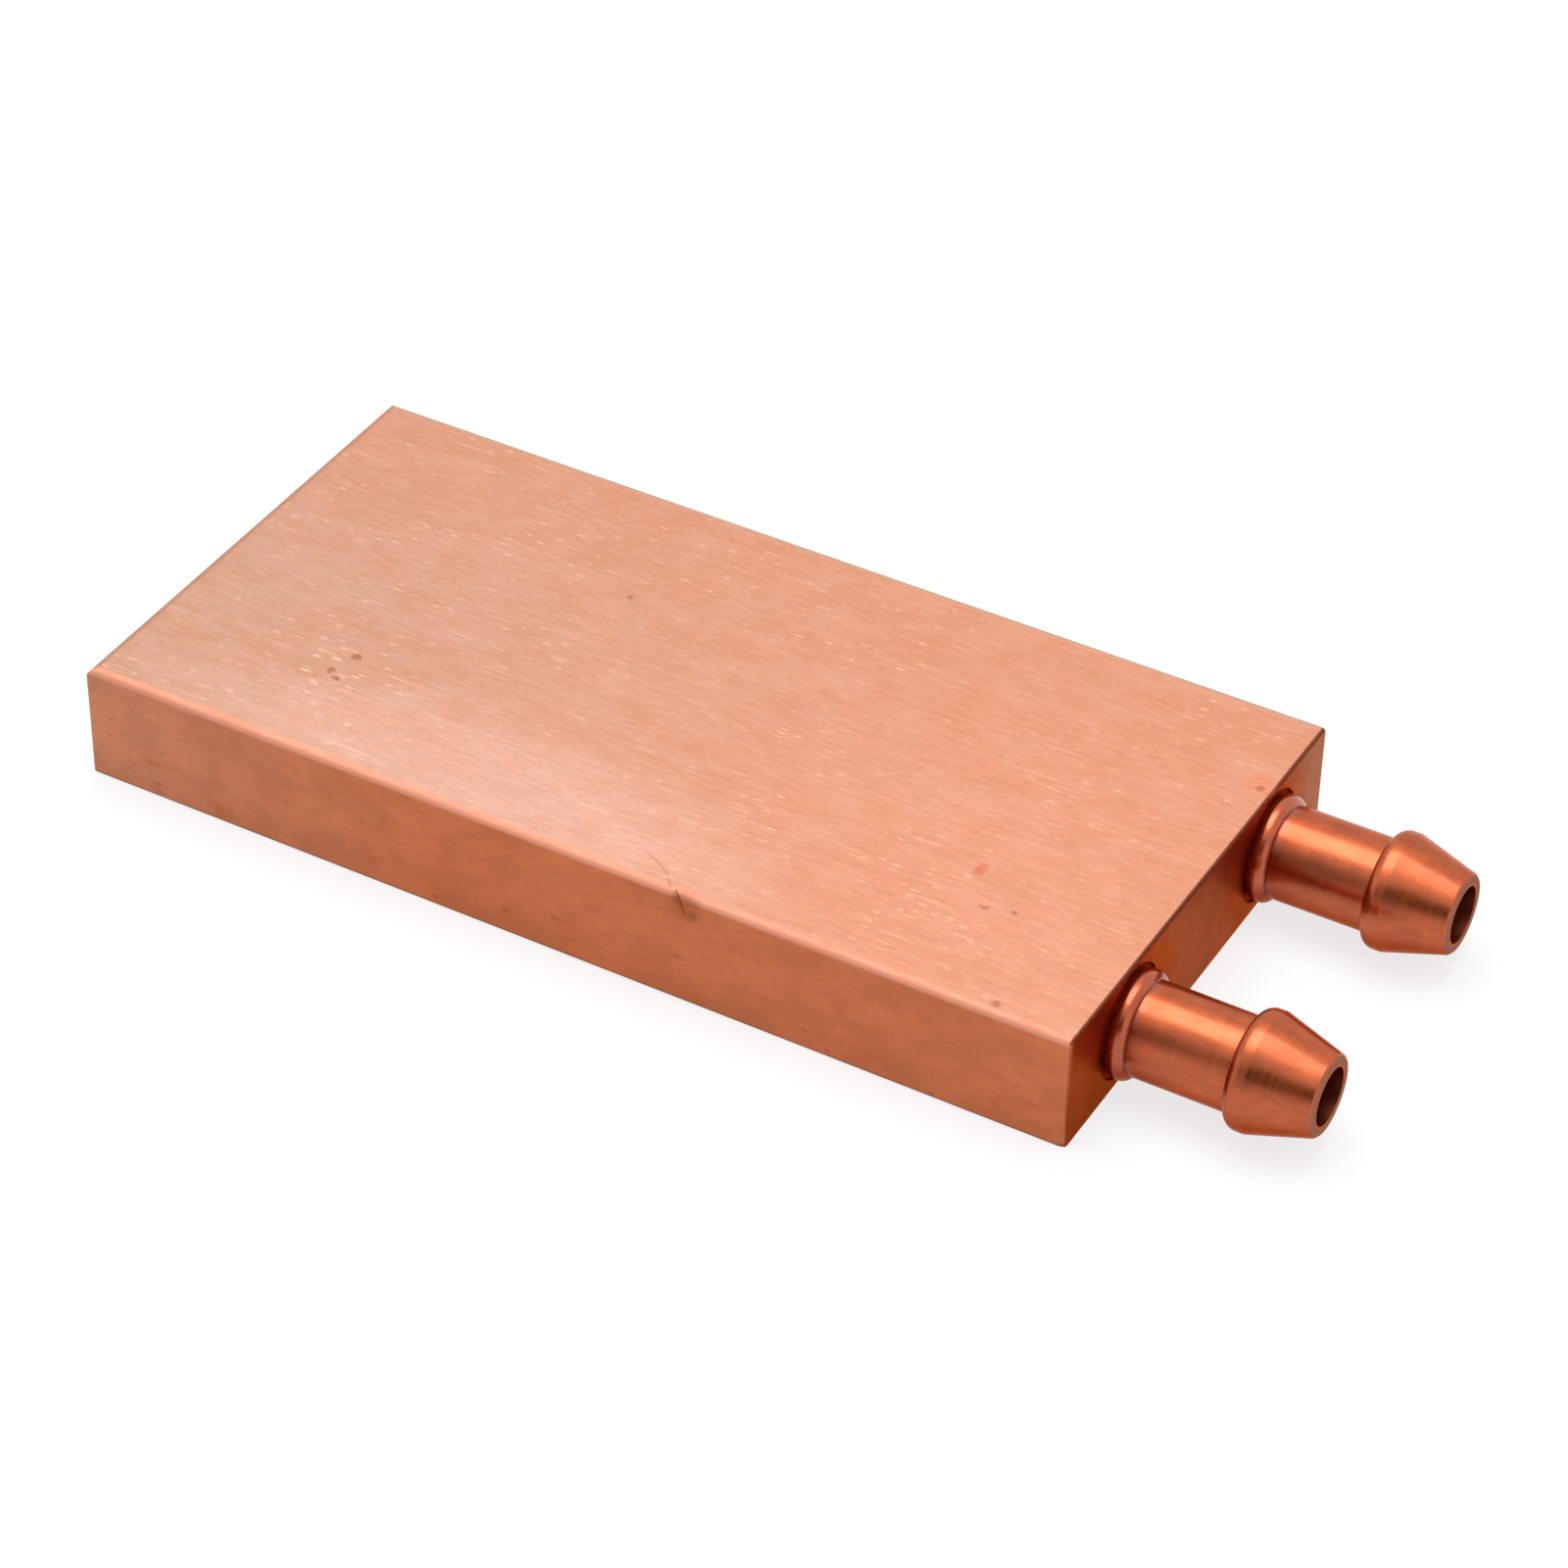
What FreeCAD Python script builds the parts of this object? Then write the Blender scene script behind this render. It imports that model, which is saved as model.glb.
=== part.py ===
import FreeCAD, Part
import math
import os

# A copper cold plate. A milled block carries a U-shaped coolant passage, which is open
# below and closed by an inlaid cover. Two turned hose barbs are brazed into one end.
# Millimetres. X runs along the plate towards the barbs, Y runs across it and Z is up.
# The origin is the middle of the plate's underside.

V = FreeCAD.Vector

# Block
plate_length = 80.0
plate_width = 40.0
plate_thickness = 9.5
foot_chamfer = 0.15         # round the underside
edge_radius = 0.3           # upright edges, and the top edge at the port end
long_edge_radius = 0.6      # the two long top edges are worn rounder
rubbed_edge_radius = 1.0    # and the top edge of the plain end rounder still

# Metal left round the coolant passage
top_wall = 2.0
side_wall = 4.0
plain_end_wall = 4.0
port_end_wall = 5.0
passage_corner_radius = 3.0

# What divides the passage: one wall down the middle, with fins on each side of it
divider_thickness = 2.0
fin_thickness = 1.0
fins_per_side = 2
turnaround_length = 6.0     # open space at the plain end, where the flow turns back
plenum_length = 6.0         # open space at the port end, where it spreads and gathers

# Cover, let in flush from below
cover_thickness = 2.0
cover_ledge = 2.0           # width of the step that the cover seats on
cover_gap = 0.05            # brazing gap round the cover's edge

# Ports in the end of the block
port_inset = 9.0            # from each long side to the middle of its port
port_seat_depth = 2.5       # how far each barb goes in before it meets its shoulder
port_gap = 0.05             # brazing gap round each barb
filler_width = 0.8          # from each barb's tube to the wall of its counterbore
counterbore_depth = 0.7

# Barbs
barb_projection = 15.0
bore_diameter = 4.3         # through the barb and on into the passage
tube_diameter = 7.0
collar_rise = 0.55          # how far the collar stands out of the tube
collar_width = 1.5
collar_middle = 0.65        # from the end of the block to the middle of the collar
crest_diameter = 8.8
crest_start = 8.8           # from the end of the block to the back of the barb
crest_land = 0.6
tip_diameter = 6.1
tip_chamfer = 0.2

# Filler run into each counterbore
filler_depth = 0.45

# Knocks that the block has taken
corner_knock_height = 4.2   # up the vertical edge
corner_knock_length = 0.9   # along the long side
corner_knock_width = 0.3    # across the end
nick_place = 9.4            # from the middle of the plate, towards the ports
nick_size = 0.6             # side of the square corner that struck it
nick_length = 2.6
nick_slant = 30.0           # degrees from upright
nick_fade = 11.0            # degrees at which it runs out of the long side

# Places worked out from the sizes above
port_end = plate_length / 2
plain_end = -plate_length / 2
near_side = -plate_width / 2
port_height = plate_thickness / 2
port_places = {"inlet": near_side + port_inset, "outlet": -near_side - port_inset}
port_shoulder = port_end - port_seat_depth
counterbore_floor = port_end - counterbore_depth
counterbore_radius = tube_diameter / 2 + filler_width
passage_start = plain_end + plain_end_wall
passage_end = port_end - port_end_wall
passage_half_width = plate_width / 2 - side_wall
passage_roof = plate_thickness - top_wall


def rounded_plate(x_low, x_high, half_width, corner_radius, z_low, z_high):
    """A flat plate with round corners, centred across Y."""
    plate = Part.makeBox(x_high - x_low, 2 * half_width, z_high - z_low, V(x_low, -half_width, z_low))
    upright = [edge for edge in plate.Edges if abs(edge.tangentAt(edge.FirstParameter).z) > 0.99]
    return plate.makeFillet(corner_radius, upright)


def round_ended_wall(x_low, x_high, y_middle, thickness):
    """A thin wall along X with half-round ends, as high as the passage."""
    r = thickness / 2
    low, high = V(x_low + r, y_middle, cover_thickness), V(x_high - r, y_middle, cover_thickness)
    outline = Part.Wire([
        Part.LineSegment(low + V(0, -r, 0), high + V(0, -r, 0)).toShape(),
        Part.Arc(high + V(0, -r, 0), high + V(r, 0, 0), high + V(0, r, 0)).toShape(),
        Part.LineSegment(high + V(0, r, 0), low + V(0, r, 0)).toShape(),
        Part.Arc(low + V(0, r, 0), low + V(-r, 0, 0), low + V(0, -r, 0)).toShape(),
    ])
    return Part.Face(outline).extrude(V(0, 0, passage_roof - cover_thickness))


def along_x(radius, x_low, x_high, y_middle):
    """A round bar along X at the height of the ports."""
    return Part.makeCylinder(radius, x_high - x_low, V(x_low, y_middle, port_height), V(1, 0, 0))


def turned(edges, y_middle):
    """Turn a closed outline, drawn as X along the part and Y as radius, about its axis."""
    face = Part.Face(Part.Wire(edges))
    solid = face.revolve(V(0, 0, 0), V(1, 0, 0), 360)
    solid.translate(V(0, y_middle, port_height))
    return solid


def outline_of(points):
    """Join corner points with straight lines. A point given as a pair with a point on an
    arc is reached by that arc."""
    edges = []
    last = points[0]
    for point in points[1:] + points[:1]:
        if isinstance(point, tuple):
            middle, point = point
            edges.append(Part.Arc(last, middle, point).toShape())
        else:
            edges.append(Part.LineSegment(last, point).toShape())
        last = point
    return edges


def rubbed_edge():
    """What is worn away from the top edge of the plain end."""
    r = rubbed_edge_radius
    x, z = plain_end, plate_thickness
    spare = 1.0
    corner = outline_of([
        V(x - spare, 0, z - r),
        V(x, 0, z - r),
        (V(x + r * (1 - math.cos(math.pi / 4)), 0, z - r * (1 - math.sin(math.pi / 4))), V(x + r, 0, z)),
        V(x + r, 0, z + spare),
        V(x - spare, 0, z + spare),
    ])
    bar = Part.Face(Part.Wire(corner)).extrude(V(0, plate_width + 2 * spare, 0))
    bar.translate(V(0, near_side - spare, 0))
    return bar


def corner_knock():
    """The sliver knocked off the foot of the near upright edge at the port end."""
    foot = V(port_end, near_side, 0)
    up = foot + V(0, 0, corner_knock_height)
    along = foot + V(-corner_knock_length, 0, 0)
    across = foot + V(0, corner_knock_width, 0)
    sides = [(foot, up, along), (foot, across, up), (foot, along, across), (up, across, along)]
    faces = [Part.Face(Part.makePolygon([p, q, r, p])) for p, q, r in sides]
    return Part.Solid(Part.Shell(faces))


def edge_nick():
    """A notch struck into the near top edge, which runs on down the long side and fades."""
    notch = Part.makeBox(nick_size, nick_size, nick_length + nick_size,
                         V(-nick_size / 2, -nick_size / 2, -nick_size))
    notch.rotate(V(0, 0, 0), V(0, 0, 1), 45)
    notch.rotate(V(0, 0, 0), V(1, 0, 0), 180 - nick_fade)
    notch.rotate(V(0, 0, 0), V(0, 1, 0), -nick_slant)
    notch.translate(V(nick_place, near_side, plate_thickness))
    return notch


def coolant_passage():
    """The U-shaped space that the coolant fills, between the cover and the top wall."""
    passage = rounded_plate(passage_start, passage_end, passage_half_width, passage_corner_radius,
                            cover_thickness, passage_roof)
    divider_nose = passage_start + turnaround_length
    walls = [round_ended_wall(divider_nose, port_end, 0, divider_thickness)]
    channel_width = ((passage_half_width - divider_thickness / 2 - fins_per_side * fin_thickness)
                     / (fins_per_side + 1))
    for side in (-1, 1):
        for number in range(fins_per_side):
            fin_middle = (divider_thickness / 2 + (number + 1) * channel_width
                          + (number + 0.5) * fin_thickness)
            walls.append(round_ended_wall(divider_nose, passage_end - plenum_length,
                                          side * fin_middle, fin_thickness))
    return passage.cut(walls)


def cover_plate():
    """The flush cover, a brazing gap smaller than its recess all round."""
    reach = cover_ledge - cover_gap
    return rounded_plate(passage_start - reach, passage_end + reach, passage_half_width + reach,
                         passage_corner_radius + reach, 0, cover_thickness)


def cover_recess():
    """The recess that the cover lies in."""
    return rounded_plate(passage_start - cover_ledge, passage_end + cover_ledge,
                         passage_half_width + cover_ledge, passage_corner_radius + cover_ledge,
                         -cover_thickness, cover_thickness)


def port_hole(y_middle):
    """A stepped port: counterbore, seat for the barb and drilling into the passage."""
    spare = 1.0
    mouth = along_x(counterbore_radius, counterbore_floor, port_end + spare, y_middle)
    seat = along_x(tube_diameter / 2 + port_gap, port_shoulder, port_end + spare, y_middle)
    drilling = along_x(bore_diameter / 2, passage_end - spare, port_end + spare, y_middle)
    return mouth.fuse([seat, drilling])


def worn_block():
    """The plain block, deburred below and worn round along its other edges."""
    block = Part.makeBox(plate_length, plate_width, plate_thickness, V(plain_end, near_side, 0))
    block = block.makeFillet(long_edge_radius, [
        edge for edge in block.Edges
        if edge.CenterOfMass.z > port_height and abs(edge.CenterOfMass.x) < edge_radius])
    block = block.makeFillet(edge_radius, [
        edge for edge in block.Edges
        if abs(edge.CenterOfMass.x) > port_end - edge_radius and edge.CenterOfMass.z > edge_radius])
    return block.makeChamfer(foot_chamfer, [
        edge for edge in block.Edges if edge.CenterOfMass.z < foot_chamfer / 2])


def channel_body():
    """The copper block, milled from below and drilled from the port end."""
    block = worn_block()
    block = block.cut([rubbed_edge(), corner_knock(), edge_nick()])
    block = block.cut(cover_recess())
    block = block.cut(coolant_passage())
    return block.cut([port_hole(y) for y in port_places.values()])


def hose_barb(y_middle):
    """A turned barb: seated tube, round collar, hose tube, round-backed crest, taper, tip."""
    bore, tube, tip = bore_diameter / 2, tube_diameter / 2, tip_diameter / 2
    crest = crest_diameter / 2
    end = port_end + barb_projection
    collar_back = port_end + collar_middle - collar_width / 2
    crest_back = port_end + crest_start
    rise = crest - tube
    slant = math.sqrt(0.5)
    return turned(outline_of([
        V(port_shoulder, bore, 0),
        V(port_shoulder, tube, 0),
        V(collar_back, tube, 0),
        (V(port_end + collar_middle, tube + collar_rise, 0), V(collar_back + collar_width, tube, 0)),
        V(crest_back, tube, 0),
        (V(crest_back + rise * (1 - slant), tube + rise * slant, 0), V(crest_back + rise, crest, 0)),
        V(crest_back + rise + crest_land, crest, 0),
        V(end - tip_chamfer, tip, 0),
        V(end, tip - tip_chamfer, 0),
        V(end, bore, 0),
    ]), y_middle)


def braze_ring(y_middle):
    """Filler run round the tube, on the floor of the counterbore."""
    front = counterbore_floor + filler_depth
    ring = along_x(counterbore_radius, counterbore_floor, front, y_middle)
    return ring.cut(along_x(tube_diameter / 2, counterbore_floor, front, y_middle))


pieces = {"channel_body": channel_body(), "cover_plate": cover_plate()}
for port_name, y_place in port_places.items():
    pieces[port_name + "_barb"] = hose_barb(y_place)
    pieces[port_name + "_braze_ring"] = braze_ring(y_place)

os.makedirs("parts", exist_ok=True)
for node, shape in pieces.items():
    shape.exportStep("parts/" + node + ".step")
    print(node, "valid" if shape.isValid() else "NOT VALID", round(shape.Volume, 2), "mm3")
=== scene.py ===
import math

import bmesh
import bpy
from mathutils import Matrix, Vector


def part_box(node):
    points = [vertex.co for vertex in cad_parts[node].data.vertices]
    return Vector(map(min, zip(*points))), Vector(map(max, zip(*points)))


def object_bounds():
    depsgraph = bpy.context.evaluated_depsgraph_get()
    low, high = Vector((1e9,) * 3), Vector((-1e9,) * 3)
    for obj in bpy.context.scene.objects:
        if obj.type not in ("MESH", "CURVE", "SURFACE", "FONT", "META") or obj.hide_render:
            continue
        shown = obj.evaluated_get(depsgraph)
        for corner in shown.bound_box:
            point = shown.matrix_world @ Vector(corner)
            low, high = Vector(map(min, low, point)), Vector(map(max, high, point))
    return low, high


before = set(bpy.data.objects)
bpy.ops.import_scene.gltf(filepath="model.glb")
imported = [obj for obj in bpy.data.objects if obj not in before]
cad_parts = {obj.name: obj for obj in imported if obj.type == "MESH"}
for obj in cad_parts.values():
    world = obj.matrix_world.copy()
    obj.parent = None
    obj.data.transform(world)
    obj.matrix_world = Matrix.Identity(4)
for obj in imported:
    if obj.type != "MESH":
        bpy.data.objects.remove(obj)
cad_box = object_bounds()

scene = bpy.context.scene
scene.view_settings.view_transform = "Standard"


# --- Camera -------------------------------------------------------------------------------
# A long lens looks down on the plate from in front and from the side of its barbs. It is
# turned slightly about its own axis and aimed near the middle of the whole part.
MM = 0.001
turn_round_part = math.radians(29.05)
height_angle = math.radians(38.45)
camera_roll = math.radians(1.13)
camera_distance = 366.6 * MM
aim_right = 5.94 * MM
aim_up = 1.17 * MM

camera_data = bpy.data.cameras.new("camera")
camera_data.lens = 115.36
camera_data.sensor_width = 36.0
camera_data.clip_start = 10 * MM
camera = bpy.data.objects.new("camera", camera_data)
scene.collection.objects.link(camera)
facing = (Matrix.Rotation(turn_round_part, 4, "Z")
          @ Matrix.Rotation(math.pi / 2 - height_angle, 4, "X")
          @ Matrix.Rotation(camera_roll, 4, "Z"))
camera.matrix_world = facing @ Matrix.Translation((aim_right, aim_up, camera_distance))
scene.camera = camera


# --- Studio -------------------------------------------------------------------------------
# A white room with a white floor that keeps the plate's shadow. One wide softbox hangs
# overhead, and a dark cloth behind the camera gives turned metal something dark to mirror.
def add(tree, kind, sockets=None, **settings):
    """Add a node, set what the settings name, and give or link each socket its value."""
    new = tree.nodes.new("ShaderNode" + kind)
    for key, value in settings.items():
        setattr(new, key, value)
    for key, value in (sockets or {}).items():
        if isinstance(value, bpy.types.NodeSocket):
            tree.links.new(value, new.inputs[key])
        else:
            new.inputs[key].default_value = value
    return new


def maths(tree, operation, *values):
    return add(tree, "Math", dict(enumerate(values)), operation=operation).outputs[0]


def times(tree, first, second):
    return maths(tree, "MULTIPLY", first, second)


def less(tree, first, second):
    return maths(tree, "SUBTRACT", first, second)


def most(tree, *masks):
    """Whichever mask is the highest at each place."""
    whole = masks[0]
    for mask in masks[1:]:
        whole = maths(tree, "MAXIMUM", whole, mask)
    return whole


def ramp(tree, value, low, high, to_low=0.0, to_high=1.0):
    """Ease from to_low to to_high as a value goes from low to high."""
    return add(tree, "MapRange", {"Value": value, "From Min": low, "From Max": high,
                                  "To Min": to_low, "To Max": to_high},
               interpolation_type="SMOOTHSTEP").outputs["Result"]


def material_tree(name):
    """A new material and its tree, with its Principled shader."""
    material = bpy.data.materials.new(name)
    material.use_nodes = True
    return material, material.node_tree, material.node_tree.nodes["Principled BSDF"]


def seen_directly(tree):
    """1 where the camera, a mirror or a glass sees the surface, and 0 for light it gives."""
    path = add(tree, "LightPath").outputs
    return most(tree, path["Is Camera Ray"], path["Is Glossy Ray"], path["Is Transmission Ray"])


def studio_sheet(name, paint_name, matrix):
    """A flat square sheet, placed by a matrix, that is part of the studio.

    With it come the tree of its paint, which holds only an output, and the output's socket.
    """
    sheet = bpy.data.objects.new(name, bpy.data.meshes.new(name))
    build = bmesh.new()
    bmesh.ops.create_grid(build, x_segments=1, y_segments=1, size=1.0)
    bmesh.ops.transform(build, matrix=matrix, verts=build.verts)
    build.to_mesh(sheet.data)
    build.free()
    scene.collection.objects.link(sheet)
    paint, tree, shader = material_tree(paint_name)
    tree.nodes.remove(shader)
    sheet.data.materials.append(paint)
    return sheet, tree, tree.nodes["Material Output"].inputs["Surface"]


# The room gives a soft light, but shows as plain white.
white = (1.0, 1.0, 1.0, 1.0)
room_light = 0.64
world = bpy.data.worlds.new("white_room")
world.use_nodes = True
scene.world = world
tree = world.node_tree
room = add(tree, "Background", {"Color": white, "Strength": room_light}).outputs[0]
backdrop = add(tree, "Background", {"Color": white, "Strength": 1.0}).outputs[0]
walls = add(tree, "MixShader", {0: seen_directly(tree), 1: room, 2: backdrop}).outputs[0]
tree.links.new(walls, tree.nodes["World Output"].inputs["Surface"])

# The floor lies just below the plate. It shows mostly as plain white, and the rest of it is
# matt paint that takes the shadow.
floor_half_width = 6.0
floor_height = cad_box[0][2] - 0.02 * MM
white_floor_share = 0.75
_, tree, surface = studio_sheet("floor", "floor_paint",
                                Matrix.Translation((0.0, 0.0, floor_height))
                                @ Matrix.Scale(floor_half_width, 4))
matt = add(tree, "BsdfDiffuse", {"Color": white}).outputs[0]
glow = add(tree, "Emission", {"Strength": 1.0}).outputs[0]
glow_share = times(tree, seen_directly(tree), white_floor_share)
floor_look = add(tree, "MixShader", {0: glow_share, 1: matt, 2: glow}).outputs[0]
tree.links.new(floor_look, surface)

softbox_place = (-0.115, 0.055, 0.90)
softbox_length = 0.83
softbox_width = 0.65
softbox_power = 5.8
softbox_data = bpy.data.lights.new("softbox", "AREA")
softbox_data.shape = "RECTANGLE"
softbox_data.size = softbox_length
softbox_data.size_y = softbox_width
softbox_data.energy = softbox_power
softbox = bpy.data.objects.new("softbox", softbox_data)
softbox.location = softbox_place
scene.collection.objects.link(softbox)

# The cloth is dark in its middle and fades to the room's white at its foot, its head, its
# left and its right. Each fade is the pair of places where it starts and ends, in metres.
cloth_place = (0.0, -0.8, 0.55)
cloth_half_width = 0.80
cloth_half_height = 0.50
cloth_darkness = 0.98
foot_fade = (0.05, 0.35)
head_fade = (1.05, 0.70)
left_fade = (-cloth_half_width, 0.20)
right_fade = (0.75, 0.45)
cloth, tree, surface = studio_sheet(
    "dark_cloth", "cloth_paint",
    Matrix.Translation(cloth_place) @ Matrix.Rotation(math.pi / 2, 4, "X")
    @ Matrix.Diagonal((cloth_half_width, cloth_half_height, 1.0, 1.0)))
cloth.visible_camera = cloth.visible_diffuse = cloth.visible_shadow = False
across, _, up = add(tree, "SeparateXYZ", {0: add(tree, "TexCoord").outputs["Object"]}).outputs
foot_and_head = times(tree, ramp(tree, up, *foot_fade), ramp(tree, up, *head_fade))
left_and_right = times(tree, ramp(tree, across, *left_fade, 0.0, cloth_darkness),
                       ramp(tree, across, *right_fade))
dark = times(tree, foot_and_head, left_and_right)
dim = add(tree, "Emission", {"Strength": less(tree, 1.0, dark)}).outputs[0]
tree.links.new(dim, surface)


# --- Channel body -------------------------------------------------------------------------
# The block is cut from copper bar. Its top is brushed lengthways to a bright satin, and its
# sides and ends are as the saw and the brazing heat left them, darker and redder, and part
# of that darkness is painted shade. It has been handled: pits, a red speck, a hairline
# scratch and a nicked edge.
def group(name, inputs, outputs):
    """Start a node group with the inputs and outputs named, each with its kind."""
    made = bpy.data.node_groups.new(name, "ShaderNodeTree")
    for title, kind in inputs:
        made.interface.new_socket(title, in_out="INPUT", socket_type="NodeSocket" + kind)
    for title, kind in outputs:
        made.interface.new_socket(title, in_out="OUTPUT", socket_type="NodeSocket" + kind)
    return made, made.nodes.new("NodeGroupInput").outputs, made.nodes.new("NodeGroupOutput").inputs


def placed(tree, made, place):
    """Put a node group in a material and give it the place."""
    return add(tree, "Group", {"Place": place}, node_tree=made).outputs


def plus(tree, first, second):
    return maths(tree, "ADD", first, second)


def apart(tree, value, middle=0.0):
    """How far a value is from a middle, on either side."""
    return maths(tree, "ABSOLUTE", less(tree, value, middle))


def shaded(tree, colour, amount):
    """Make a colour, or a place, larger or smaller by one amount."""
    return add(tree, "VectorMath", {0: colour, "Scale": amount}, operation="SCALE").outputs[0]


def stretched(tree, place, scale):
    """Make a place, or a colour, larger or smaller by three amounts."""
    return add(tree, "VectorMath", {0: place, 1: scale}, operation="MULTIPLY").outputs[0]


def millimetres(tree):
    """The place on the part in millimetres, whole and as its X, Y and Z."""
    place = shaded(tree, add(tree, "TexCoord").outputs["Object"], 1 / MM)
    return place, *add(tree, "SeparateXYZ", {0: place}).outputs


def in_mm(corners):
    """The lowest and highest corners of a piece, in millimetres."""
    return [[c / MM for c in corner] for corner in corners]


def noise(tree, place, scale, detail=2.0, roughness=0.5):
    """Soft noise, at a scale along X, Y and Z in waves to the millimetre."""
    return add(tree, "TexNoise", {"Vector": stretched(tree, place, scale), "Scale": 1.0,
                                  "Detail": detail, "Roughness": roughness}).outputs["Fac"]


def cells(tree, place, scale, radius, chosen):
    """Soft dots in the middle of some of the cells: how large they are and how many.

    The scale is in cells to the millimetre, the radius is in cells, and chosen is the share
    of the cells that have a dot.
    """
    cell = add(tree, "TexVoronoi", {"Vector": stretched(tree, place, scale), "Scale": 1.0}).outputs
    dot = ramp(tree, cell["Distance"], radius, radius * 0.2)
    lot = add(tree, "SeparateColor", {0: cell["Color"]}).outputs[0]
    return times(tree, dot, ramp(tree, lot, 1 - chosen, 1 - chosen * 0.6))


def distance(tree, place, centre):
    return add(tree, "VectorMath", {0: place, 1: centre}, operation="DISTANCE").outputs["Value"]


def near(tree, place, centre, reach, stretch=(1.0, 1.0, 1.0)):
    """1 at a centre, fading to 0 at the end of its reach. A stretch under 1 takes it further."""
    middle = tuple(c * s for c, s in zip(centre, stretch))
    away = distance(tree, stretched(tree, place, stretch), middle)
    return ramp(tree, away, reach, reach * 0.35)


def blend(tree, share, first, second):
    """Go from the first colour to the second by a share."""
    mix = add(tree, "Mix", data_type="RGBA")
    for place, value in ((0, share), (6, first), (7, second)):
        if isinstance(value, bpy.types.NodeSocket):
            tree.links.new(value, mix.inputs[place])
        else:
            mix.inputs[place].default_value = (*value, 1.0) if isinstance(value, tuple) else value
    return mix.outputs[2]


def tinted(tree, colour, tint, mask, share):
    """Take a colour a share of the way to a tint where a mask is 1."""
    return blend(tree, times(tree, mask, share), colour, tint)


def varied(tree, colour, pattern, over, shades):
    """Go from the first shade of a colour to the second over a stretch of a pattern."""
    return shaded(tree, colour, ramp(tree, pattern, *over, *shades))


def bare_metal(tree, shader, colour, roughness, relief, strength, depth):
    """Give a metal its colour, its roughness and a fine relief, its depth in millimetres."""
    bump = add(tree, "Bump", {"Height": relief, "Strength": strength, "Distance": depth * MM})
    tree.links.new(colour, shader.inputs["Base Color"])
    tree.links.new(roughness, shader.inputs["Roughness"])
    tree.links.new(bump.outputs["Normal"], shader.inputs["Normal"])
    shader.inputs["Metallic"].default_value = 1.0


def dress(node, material):
    """Give a CAD piece its material in place of the plain one."""
    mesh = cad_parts[node].data
    mesh.materials.clear()
    mesh.materials.append(material)


# Brushing: streaks and fine lines lengthways, short pale flecks and longer scratches that
# catch the light, which the top paints in as pale glints, more of both in some patches, soft
# clouding, and a few small pits.
brushing, given, result = group(
    "brushing", [("Place", "Vector")],
    [(title, "Float") for title in ("Streaks", "Fine", "Flecks", "Scratches", "Clouds", "Pits")])
place = given["Place"]
short_streaks = noise(brushing, place, (0.7, 2.6, 2.6), detail=3.0, roughness=0.6)
long_streaks = noise(brushing, place, (0.18, 2.9, 2.9))
streaks = plus(brushing, times(brushing, short_streaks, 0.5), times(brushing, long_streaks, 0.5))
long_scratches = cells(brushing, place, (0.16, 2.3, 2.3), radius=0.44, chosen=0.05)
fine_scratches = cells(brushing, place, (0.27, 3.4, 3.4), radius=0.44, chosen=0.09)
scratches = most(brushing, long_scratches, times(brushing, fine_scratches, 0.7))
short_flecks = cells(brushing, place, (0.85, 3.2, 3.2), radius=0.46, chosen=0.15)
fine_flecks = cells(brushing, place, (0.45, 4.4, 4.4), radius=0.46, chosen=0.12)
flecks = most(brushing, short_flecks, times(brushing, fine_flecks, 0.7))
crowd = ramp(brushing, noise(brushing, place, (0.07, 0.12, 0.12)), 0.40, 0.62, 0.35, 1.0)
clouds = noise(brushing, place, (0.25, 0.38, 0.38), detail=5.0, roughness=0.68)
pits = cells(brushing, place, (0.33, 0.42, 0.42), radius=0.09, chosen=0.12)
for title, value in (("Streaks", ramp(brushing, streaks, 0.36, 0.64)),
                     ("Fine", noise(brushing, place, (2.0, 9.0, 9.0))),
                     ("Flecks", times(brushing, flecks, crowd)),
                     ("Scratches", times(brushing, scratches, crowd)),
                     ("Clouds", ramp(brushing, clouds, 0.34, 0.66)),
                     ("Pits", pits)):
    brushing.links.new(value, result[title])

block_low, block_high = in_mm(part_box("channel_body"))
barb_low, barb_high = in_mm(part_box("outlet_barb"))
plain_end = block_low[0]
near_side = block_low[1]
port_end = block_high[0]
far_side = block_high[1]
top = block_high[2]
barb_across = (barb_low[1] + barb_high[1]) / 2
barb_up = (barb_low[2] + barb_high[2]) / 2
counterbore_radius = 4.3


def round_barb(tree, y, z):
    """The distance from the axis of whichever barb is nearer."""
    across = less(tree, apart(tree, y), barb_across)
    up = less(tree, z, barb_up)
    return maths(tree, "SQRT", plus(tree, times(tree, across, across), times(tree, up, up)))


block_copper, tree, shader = material_tree("brushed_copper")
place, x, y, z = millimetres(tree)
marks = placed(tree, brushing, place)

# The top: paler at the front, where a broad reflection of the softbox is painted in, warmer
# towards the ports, more orange along the back.
satin_at_plain_end = (0.550, 0.315, 0.221)
satin_at_ports = (0.640, 0.302, 0.189)
satin_at_painted_reflection = (0.69, 0.435, 0.350)
satin_at_back = (0.615, 0.298, 0.188)
redder_cloud = (0.985, 0.95, 0.92)
paler_cloud = (1.015, 1.05, 1.10)
painted_glint_pale = (1.0, 0.66, 0.50)
satin = blend(tree, ramp(tree, x, -38.0, 34.0), satin_at_plain_end, satin_at_ports)
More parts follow.
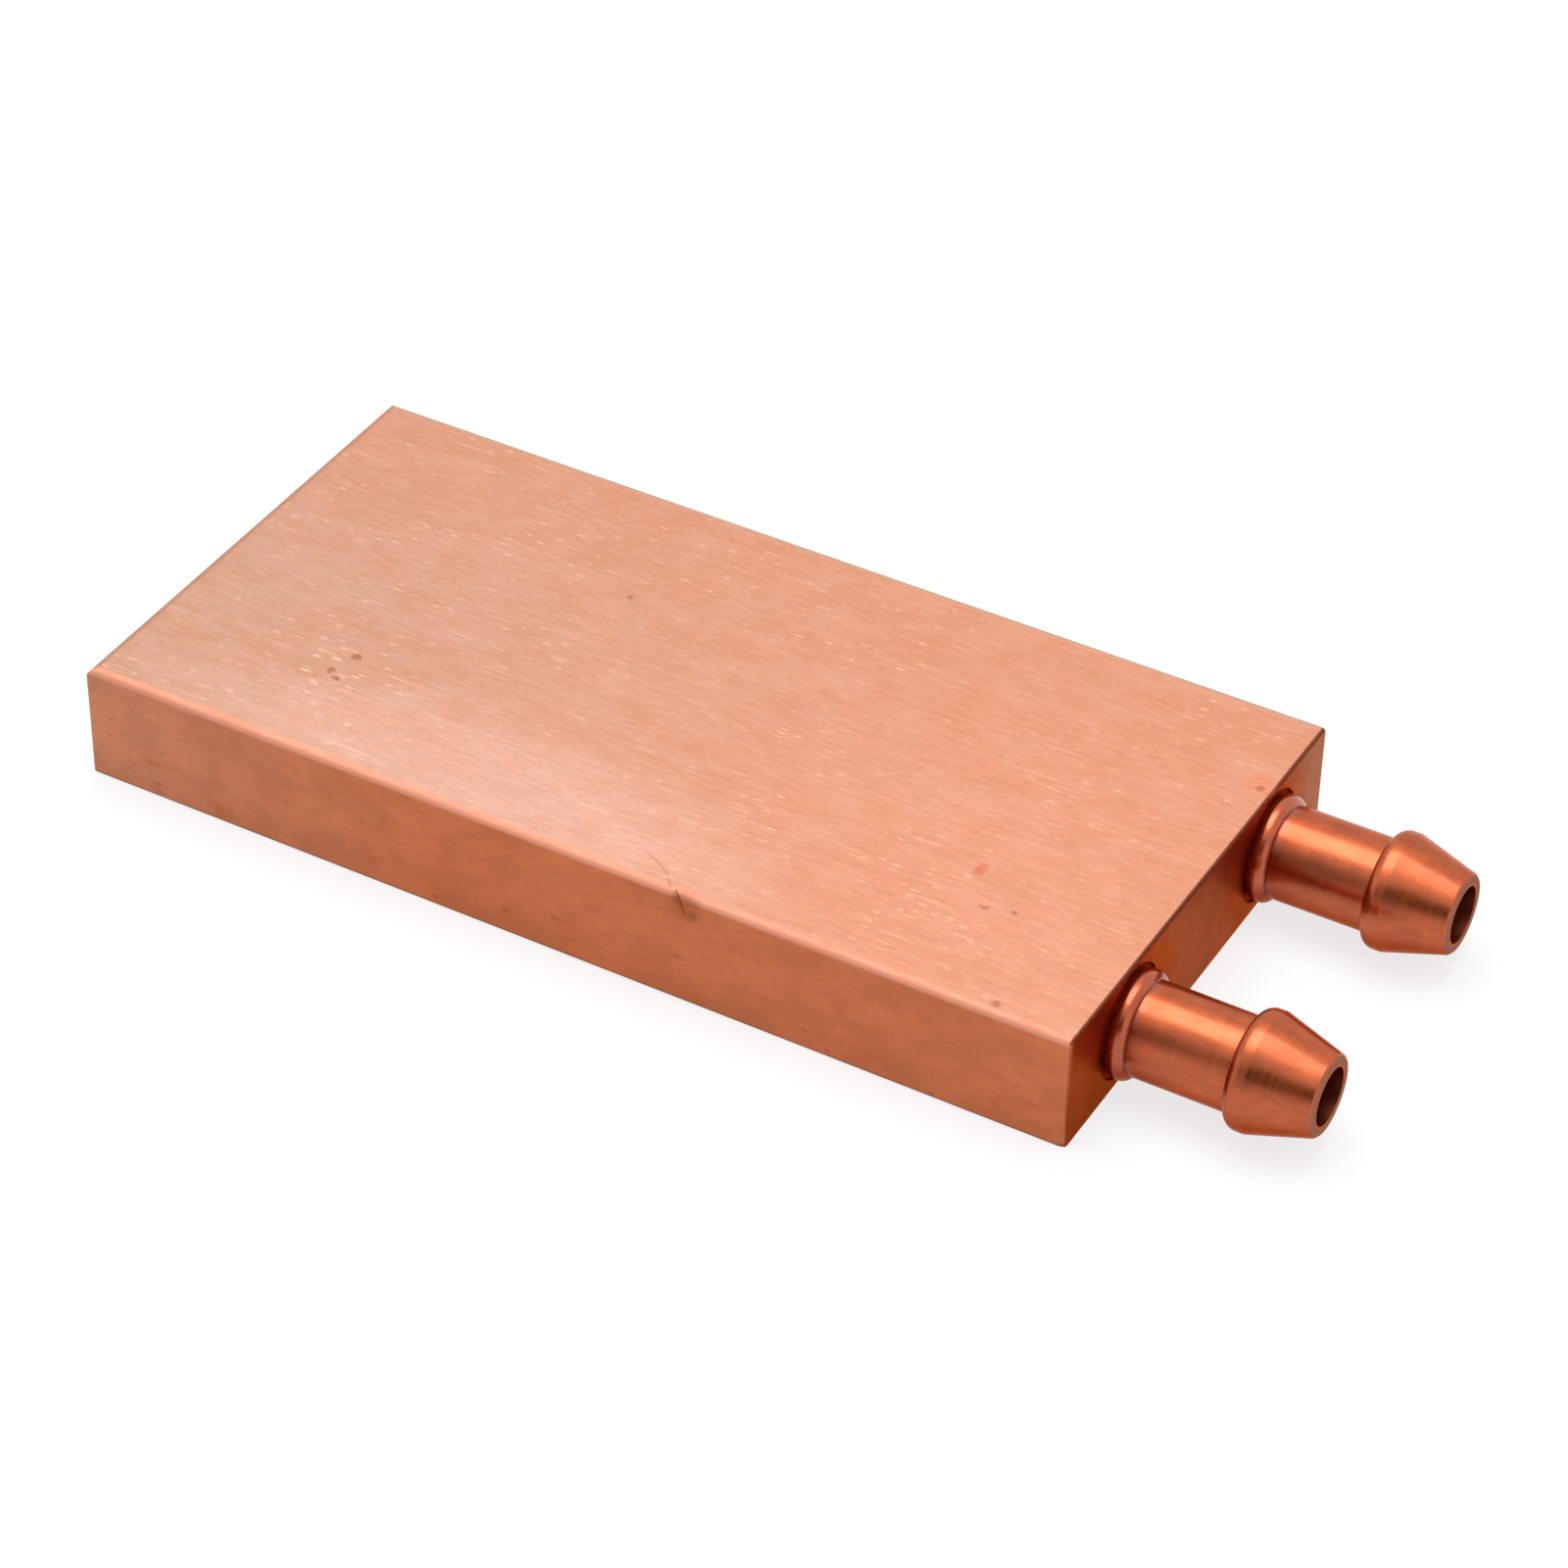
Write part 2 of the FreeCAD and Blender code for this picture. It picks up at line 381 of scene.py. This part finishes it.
# A painted highlight: the softbox's reflection, paler towards the front.
painted_softbox_reflection = near(tree, place, (-10.0, -18.0, top), reach=24.0, stretch=(0.8, 2.2, 1.0))
satin = tinted(tree, satin, satin_at_painted_reflection, painted_softbox_reflection, 0.5)
satin = blend(tree, ramp(tree, y, -4.0, 20.0, 0.0, 0.6), satin, satin_at_back)
satin = blend(tree, marks["Clouds"], stretched(tree, satin, redder_cloud),
              stretched(tree, satin, paler_cloud))
satin = varied(tree, satin, marks["Streaks"], (0.0, 1.0), (0.965, 1.033))
satin = varied(tree, satin, marks["Fine"], (0.3, 0.7), (0.965, 1.035))
# The flecks and scratches are painted pale, as glints.
satin = tinted(tree, satin, painted_glint_pale, marks["Flecks"], 0.42)
satin = tinted(tree, satin, painted_glint_pale, marks["Scratches"], 0.30)

# The sides: sawn, and darker and redder than the top, partly from that finish and partly as
# painted shade. Painted shade also darkens them towards the foot, most of all on its
# chamfer. Dull stains and dark specks are thickest there.
sawn_at_plain_end = (0.52, 0.205, 0.115)
sawn_past_middle = (0.52, 0.158, 0.070)
stain_brown = (0.42, 0.10, 0.04)
speck_brown = (0.24, 0.055, 0.02)
sawn_and_shaded = blend(tree, ramp(tree, x, plain_end, -5.0), sawn_at_plain_end, sawn_past_middle)
# Painted shade: darker towards the foot, and darkest on the foot chamfer.
sawn_and_shaded = varied(tree, sawn_and_shaded, z, (0.2, 4.5), (0.94, 1.0))
sawn_and_shaded = varied(tree, sawn_and_shaded, z, (0.10, 0.34), (0.35, 1.0))
sawn_and_shaded = varied(tree, sawn_and_shaded, marks["Clouds"], (0.0, 1.0), (0.93, 1.06))
blotches = noise(tree, place, (0.30, 0.30, 0.55), detail=4.0, roughness=0.65)
stain = ramp(tree, blotches, 0.53, 0.70, 0.0, 0.45)
sawn_and_shaded = tinted(tree, sawn_and_shaded, stain_brown, stain, ramp(tree, z, 7.0, 3.0))
few_specks = cells(tree, place, (0.24, 0.3, 0.42), radius=0.11, chosen=0.30)
foot_specks = cells(tree, place, (0.5, 0.5, 0.8), radius=0.20, chosen=0.30)
specks = most(tree, times(tree, few_specks, 0.5),
              times(tree, foot_specks, ramp(tree, z, 6.5, 2.0, 0.0, 0.5)))
sawn_and_shaded = blend(tree, specks, sawn_and_shaded, speck_brown)
on_top = ramp(tree, z, top - 0.40, top - 0.12)
colour = blend(tree, on_top, sawn_and_shaded, satin)

# The long top edges: a painted highlight along the front, and a painted grey reflection
# along the back.
painted_edge_highlight = (0.80, 0.37, 0.245)
painted_edge_reflection = (0.56, 0.38, 0.28)
edge = times(tree, ramp(tree, apart(tree, y), far_side - 0.85, far_side - 0.50),
             ramp(tree, z, top - 0.52, top - 0.30))
edge_colour = blend(tree, ramp(tree, y, -1.0, 1.0), painted_edge_highlight, painted_edge_reflection)
colour = tinted(tree, colour, edge_colour, edge, 0.9)

# The port end: reddened by the brazing heat, most of all round the barbs and in the near
# corner; its darker tone is partly painted shade, and painted shade darkens the near corner
# at its foot. The far corner is greyer with a painted reflection, and the top edge is
# darkened with painted shade.
heat_red = (0.37, 0.066, 0.024)
heat_brown_and_shade = (0.325, 0.088, 0.049)
corner_red = (0.38, 0.066, 0.024)
painted_corner_reflection = (0.37, 0.180, 0.128)
painted_edge_shade = (0.16, 0.040, 0.018)
from_barb = round_barb(tree, y, z)
heated_and_shaded = blend(tree, ramp(tree, from_barb, 4.2, 9.0), heat_red, heat_brown_and_shade)
heated_and_shaded = blend(tree, ramp(tree, y, -6.0, -19.0, 0.0, 0.8), heated_and_shaded, corner_red)
# Painted shade darkens the foot of the near corner.
heated_and_shaded = shaded(tree, heated_and_shaded, most(tree, ramp(tree, z, 0.0, 7.0, 0.60, 1.0),
                                   ramp(tree, y, -18.0, -2.0)))
# A painted reflection makes the far corner greyer.
heated_and_shaded = blend(tree, ramp(tree, y, 12.5, 19.0), heated_and_shaded, painted_corner_reflection)
heated_and_shaded = varied(tree, heated_and_shaded, marks["Clouds"], (0.0, 1.0), (0.92, 1.08))
colour = blend(tree, ramp(tree, x, port_end - 0.25, port_end - 0.03), colour, heated_and_shaded)
# Painted shade along the top edge of the port end.
end_edge = times(tree, ramp(tree, x, port_end - 0.28, port_end - 0.16),
                 ramp(tree, z, top - 0.34, top - 0.22))
colour = tinted(tree, colour, painted_edge_shade, end_edge, 0.8)

# The underside: ground crossways after the cover is brazed in.
freshly_ground = (0.64, 0.26, 0.15)
grinding = noise(tree, place, (2.6, 0.7, 2.6), detail=3.0, roughness=0.6)
ground = varied(tree, freshly_ground, grinding, (0.3, 0.7), (0.94, 1.05))
colour = blend(tree, ramp(tree, z, 0.10, 0.04), colour, ground)

# The walls of the ports, deep red-brown: painted shade in the recesses.
painted_port_shade = (0.28, 0.040, 0.010)
inside_port = times(tree, ramp(tree, from_barb, counterbore_radius + 0.15, counterbore_radius),
                    ramp(tree, x, port_end - 3.0, port_end - 2.0))
colour = blend(tree, inside_port, colour, painted_port_shade)

# Marks with ragged outlines lie on a place that noise moves by up to ragged_by, and by half
# of that on average. Each pit has its place along and across the top, its reach, and its
# stretch along the plate.
ragged_by = 0.9
ragged_top = top + ragged_by / 2
wobble = add(tree, "TexNoise", {"Vector": place, "Scale": 1.1, "Detail": 2.0}).outputs["Color"]
ragged = add(tree, "VectorMath", {0: place, 1: shaded(tree, wobble, ragged_by)},
             operation="ADD").outputs[0]
deep_pits = [near(tree, ragged, (along, across, ragged_top), reach, (stretch, 1.0, 0.5))
             for along, across, reach, stretch in ((-23.35, -8.25, 0.50, 0.9),
                                                   (-24.15, -10.60, 0.44, 1.0),
                                                   (-23.40, -11.25, 0.40, 1.0))]
faint_pits = [near(tree, ragged, (along, across, ragged_top), reach, (stretch, 1.0, 0.5))
              for along, across, reach, stretch in ((28.85, -9.95, 0.40, 0.8),
                                                    (30.95, -9.55, 0.36, 0.8),
                                                    (34.25, -18.55, 0.45, 0.7))]
round_pits = [near(tree, place, (along, across, top), reach)
              for along, across, reach in ((39.0, 11.0, 0.45), (-10.75, 7.65, 0.35))]

# A brown smear and a rubbed patch lie round the deep pits, a red patch and a red speck
# towards the ports.
smear_brown = (0.50, 0.23, 0.12)
bright_scuff = (1.0, 0.68, 0.52)
patch_red = (0.74, 0.22, 0.105)
speck_red = (0.58, 0.145, 0.065)
smear = near(tree, ragged, (-25.75, -11.15, ragged_top), reach=2.2, stretch=(0.9, 1.3, 0.5))
colour = tinted(tree, colour, smear_brown, smear, 0.30)
rubbed = near(tree, place, (-25.0, -10.5, top), reach=4.6, stretch=(0.9, 1.1, 1.0))
scuffs = cells(tree, place, (0.8, 2.4, 2.4), radius=0.50, chosen=0.40)
colour = tinted(tree, colour, bright_scuff, times(tree, rubbed, scuffs), 0.5)
red_patch = near(tree, place, (38.8, 11.2, top), reach=1.6)
colour = tinted(tree, colour, patch_red, red_patch, 0.40)
red_speck = near(tree, place, (26.3, -7.0, top), reach=0.62, stretch=(1.0, 0.6, 1.0))
colour = tinted(tree, colour, speck_red, red_speck, 0.6)

# The nick in the near edge has a stain round it and a dark spot beside it, and a hairline
# curves away from it over the top.
nick_brown = (0.30, 0.085, 0.035)
nick_stain = near(tree, place, (10.3, near_side, 8.5), reach=1.5, stretch=(0.8, 1.0, 1.0))
colour = tinted(tree, colour, nick_brown, nick_stain, 0.5)
nick_spot = near(tree, place, (10.9, near_side, 8.0), reach=0.5)
hairline_centre = (4.3, -22.6, top)
hairline_radius = 5.5
off_hairline = apart(tree, distance(tree, place, hairline_centre), hairline_radius)
hairline = ramp(tree, off_hairline, 0.16, 0.03)
for limit in (ramp(tree, x, 5.2, 6.0), ramp(tree, y, -19.9, -19.4),
              ramp(tree, z, top - 0.2, top - 0.05)):
    hairline = times(tree, hairline, limit)

dark_mark = (0.32, 0.11, 0.055)
dark = most(tree, times(tree, marks["Pits"], 0.45), times(tree, most(tree, *deep_pits), 0.65),
            times(tree, most(tree, *faint_pits, *round_pits), 0.50),
            times(tree, hairline, 0.28), times(tree, nick_spot, 0.9))
colour = blend(tree, dark, colour, dark_mark)

# The brushed top is less glossy than the sides, and the marks and long edges less again.
copper_edge_on = (0.90, 0.50, 0.38, 1.0)
sheen = plus(tree, ramp(tree, marks["Streaks"], 0.0, 1.0, 0.42, 0.36), times(tree, on_top, 0.17))
dulled = most(tree, times(tree, dark, 0.15), times(tree, edge, 0.15))
lines = plus(tree, marks["Streaks"], times(tree, marks["Fine"], 0.5))
bare_metal(tree, shader, colour, plus(tree, sheen, dulled),
           less(tree, lines, times(tree, dark, 4.0)), strength=0.3, depth=0.02)
shader.inputs["Specular Tint"].default_value = copper_edge_on
dress("channel_body", block_copper)


# --- Cover plate --------------------------------------------------------------------------
# A copper sheet, let into the underside and brazed round its rim. It is ground flush with
# the block, so its grain runs crossways and a thin dark line of filler shows at its edge.
cover_low, cover_high = in_mm(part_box("cover_plate"))
cover_middle = (cover_low[0] + cover_high[0]) / 2
cover_corner = 4.95
rim_width = 0.5
cover_redder = (0.62, 0.24, 0.13)
cover_paler = (0.68, 0.29, 0.17)
rim_filler = (0.24, 0.07, 0.03)
pit_brown = (0.30, 0.09, 0.04)

ground_copper, tree, shader = material_tree("ground_copper")
place, x, y, _ = millimetres(tree)
crossways = add(tree, "Mapping", {"Vector": place, "Rotation": (0.0, 0.0, math.pi / 2)}).outputs[0]
marks = placed(tree, brushing, crossways)
colour = blend(tree, marks["Clouds"], cover_redder, cover_paler)
colour = varied(tree, colour, marks["Streaks"], (0.0, 1.0), (0.93, 1.06))
colour = varied(tree, colour, marks["Fine"], (0.3, 0.7), (0.96, 1.04))

# The rim follows the rounded corners, by how far a place is past the corners' centres.
past_x = less(tree, apart(tree, x, cover_middle), cover_high[0] - cover_middle - cover_corner)
past_y = less(tree, apart(tree, y), cover_high[1] - cover_corner)
past_corner = add(tree, "CombineXYZ", {0: most(tree, past_x, 0.0), 1: most(tree, past_y, 0.0)})
to_rim = add(tree, "VectorMath", {0: past_corner.outputs[0]}, operation="LENGTH").outputs["Value"]
rim = ramp(tree, to_rim, cover_corner - rim_width, cover_corner - 0.1)
colour = tinted(tree, colour, rim_filler, rim, 0.85)
colour = tinted(tree, colour, pit_brown, marks["Pits"], 0.5)
bare_metal(tree, shader, colour, ramp(tree, marks["Streaks"], 0.0, 1.0, 0.50, 0.38),
           marks["Streaks"], strength=0.4, depth=0.02)
dress("cover_plate", ground_copper)


# --- Hose barbs ---------------------------------------------------------------------------
# Two barbs turned from copper rod and drilled through, with a round collar at the block, a
# straight tube and a tapered crest that grips the hose. Brazing has reddened their roots,
# and the clear film that keeps the copper from tarnishing gives them their gloss.
barb_end = barb_high[0]
collar_front = port_end + 1.44
bore_radius = 2.15

turned_copper, tree, shader = material_tree("turned_copper")
place, x, y, z = millimetres(tree)
from_axis = round_barb(tree, y, z)
rings = noise(tree, place, (7.0, 0.05, 0.05), roughness=0.6)
drawn = noise(tree, place, (0.35, 2.2, 2.2), roughness=0.55)
cloudy = noise(tree, place, (0.5, 0.7, 0.7), detail=3.0, roughness=0.6)
root_red = (0.45, 0.078, 0.018)
turned_red = (0.465, 0.099, 0.032)
from_block = ramp(tree, x, port_end + 0.6, port_end + 4.5)
colour = blend(tree, from_block, root_red, turned_red)
for pattern, shades in ((cloudy, (0.90, 1.08)), (drawn, (0.93, 1.07)), (rings, (0.96, 1.04))):
    colour = varied(tree, colour, pattern, (0.30, 0.70), shades)

# Painted shade makes them browner underneath, and most of all near the block, and a painted
# dark line of shade lies where the collar meets the tube. They have a few dark specks.
painted_underside_shade = (0.80, 0.64, 0.55)
painted_root_shade_tint = (0.75, 0.62, 0.60)
painted_crease_shade = (0.14, 0.025, 0.008)
dark_speck = (0.20, 0.03, 0.01)
underneath = ramp(tree, z, barb_up + 0.1, barb_up - 1.8)
colour = blend(tree, underneath, colour, stretched(tree, colour, painted_underside_shade))
painted_root_shade = times(tree, underneath, ramp(tree, x, port_end + 5.0, port_end + 2.0))
colour = blend(tree, painted_root_shade, colour, stretched(tree, colour, painted_root_shade_tint))
collar_root = ramp(tree, apart(tree, x, collar_front), 0.16, 0.05)
colour = tinted(tree, colour, painted_crease_shade, collar_root, 0.55)
specks = cells(tree, place, (0.5, 0.6, 0.6), radius=0.10, chosen=0.12)
colour = tinted(tree, colour, dark_speck, specks, 0.5)

# The faced tip is greyer, and painted shade darkens the bore the deeper it goes.
faced_grey = (0.30, 0.150, 0.112)
bore_red = (0.46, 0.125, 0.060)
faced_end = ramp(tree, x, barb_end - 0.12, barb_end - 0.02)
colour = blend(tree, faced_end, colour, faced_grey)
bore = ramp(tree, from_axis, bore_radius + 0.25, bore_radius + 0.03)
bore_in_painted_shade = varied(tree, bore_red, x, (barb_end - 6.0, barb_end - 0.3), (0.35, 1.0))
colour = blend(tree, bore, colour, bore_in_painted_shade)

# The film is whole on the collar and thinner past it and underneath. The faced tip and the
# bore have none, and the tip is less glossy.
matt_tip = times(tree, faced_end, less(tree, 0.25, times(tree, bore, 0.25)))
gloss = plus(tree, ramp(tree, rings, 0.30, 0.70, 0.30, 0.36), matt_tip)
film = times(tree, less(tree, 1.0, most(tree, bore, faced_end)),
             ramp(tree, x, port_end + 1.4, port_end + 2.2, 1.0, 0.45))
film = times(tree, film, less(tree, 1.0, times(tree, underneath, 0.75)))
bare_metal(tree, shader, colour, gloss, plus(tree, rings, times(tree, drawn, 0.6)),
           strength=0.3, depth=0.012)
tree.links.new(film, shader.inputs["Coat Weight"])
shader.inputs["Coat Roughness"].default_value = 0.12
shader.inputs["Coat IOR"].default_value = 1.5
shader.inputs["Specular Tint"].default_value = copper_edge_on
dress("inlet_barb", turned_copper)
dress("outlet_barb", turned_copper)


# --- Braze rings --------------------------------------------------------------------------
# Brazing filler that has run round each barb and set on the floor of its counterbore. It is
# a dull dark red-brown, slightly rippled, and only a sliver shows behind each collar.
filler_dark = (0.30, 0.043, 0.010)
filler_light = (0.40, 0.070, 0.020)
filler_edge_on = (0.60, 0.20, 0.10, 1.0)

braze_filler, tree, shader = material_tree("braze_filler")
place, *_ = millimetres(tree)
ripple = noise(tree, place, (1.5, 1.5, 1.5), detail=3.0, roughness=0.6)
colour = blend(tree, ramp(tree, ripple, 0.35, 0.65), filler_dark, filler_light)
bare_metal(tree, shader, colour, ramp(tree, ripple, 0.3, 0.7, 0.65, 0.50), ripple,
           strength=0.6, depth=0.1)
shader.inputs["Specular Tint"].default_value = filler_edge_on
dress("inlet_braze_ring", braze_filler)
dress("outlet_braze_ring", braze_filler)
